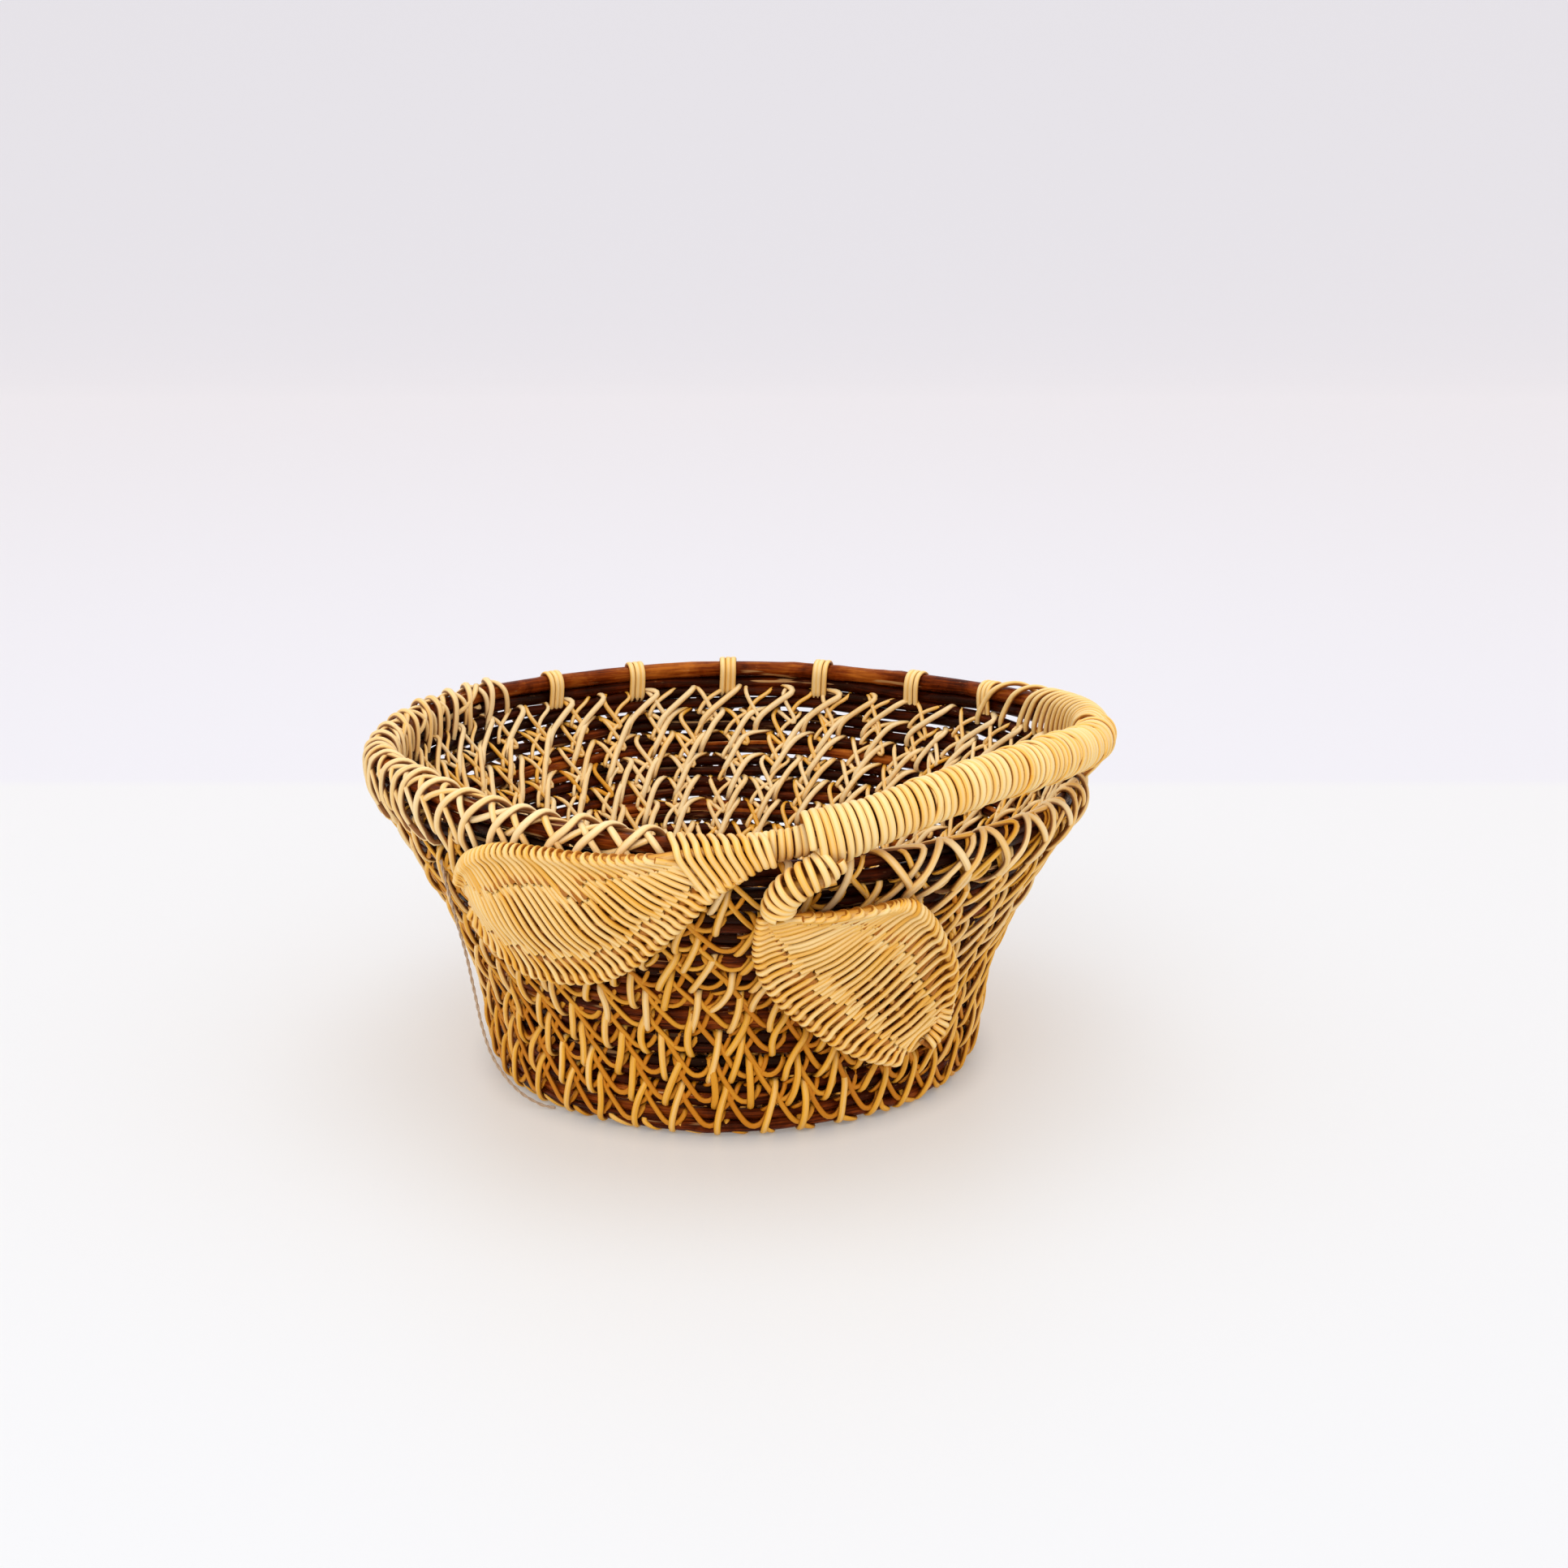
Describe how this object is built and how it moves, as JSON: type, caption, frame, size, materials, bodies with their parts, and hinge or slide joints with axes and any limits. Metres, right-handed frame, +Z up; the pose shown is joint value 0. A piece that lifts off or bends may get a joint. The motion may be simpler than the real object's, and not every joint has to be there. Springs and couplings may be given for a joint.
{
  "type": "woven fruit basket",
  "caption": "Flared round basket of coiled bark rods laced with pale cane, with one lifted wrapped stretch of rim as a handle and two woven cane leaves below it.",
  "frame": {"origin": "on the table under the middle of the basket, on the flat underside of the base's centre knot", "axes": "+Z up; -Y is the front, with the two leaves; +X is the side of the lifted handle"},
  "size_m": [0.2779, 0.2789, 0.1417],
  "materials": {
    "bark_rod": "reddish-brown bark with a satin shine, knots and a few split fibres",
    "cane": "pale golden round cane, satin, with tan flecks and darker stretches",
    "peeled_rod": "peeled honey-brown rod, satin",
    "thread": "matt brownish two-ply thread"
  },
  "bodies": {
    "root": {"wall_coil_01": "bark_rod", "wall_coil_02": "bark_rod", "wall_coil_03": "bark_rod", "wall_coil_04": "bark_rod", "wall_coil_05": "bark_rod", "wall_coil_06": "bark_rod", "wall_coil_07": "bark_rod", "wall_coil_08": "bark_rod", "wall_coil_09": "bark_rod", "wall_coil_10": "bark_rod", "wall_coil_11": "bark_rod", "wall_coil_12": "bark_rod", "wall_lashing_01": "cane", "wall_lashing_02": "cane", "wall_lashing_03": "cane", "wall_lashing_04": "cane", "wall_lashing_05": "cane", "wall_lashing_06": "cane", "wall_lashing_07": "cane", "wall_lashing_08": "cane", "wall_lashing_09": "cane", "wall_lashing_10": "cane", "wall_lashing_11": "cane", "base_coil_01": "bark_rod", "base_coil_02": "bark_rod", "base_coil_03": "bark_rod", "base_coil_04": "bark_rod", "base_coil_05": "bark_rod", "base_coil_06": "bark_rod", "base_coil_07": "bark_rod", "base_coil_08": "bark_rod", "base_centre_knot": "cane", "base_lashing": "cane", "rim_rod": "bark_rod", "rim_lashing": "cane", "rim_bands": "cane", "handle_filler_rods": "bark_rod", "handle_wrapping": "cane", "handle_ties": "cane", "left_leaf_top_rod": "peeled_rod", "left_leaf_spine_rod": "peeled_rod", "left_leaf_bottom_rod": "peeled_rod", "left_leaf_weave": "cane", "right_leaf_stem_rod": "peeled_rod", "right_leaf_stem_wrapping": "cane", "right_leaf_top_rod": "peeled_rod", "right_leaf_spine_rod": "peeled_rod", "right_leaf_bottom_rod": "peeled_rod", "right_leaf_weave": "cane", "loose_thread": "thread"}
  },
  "joints": []
}
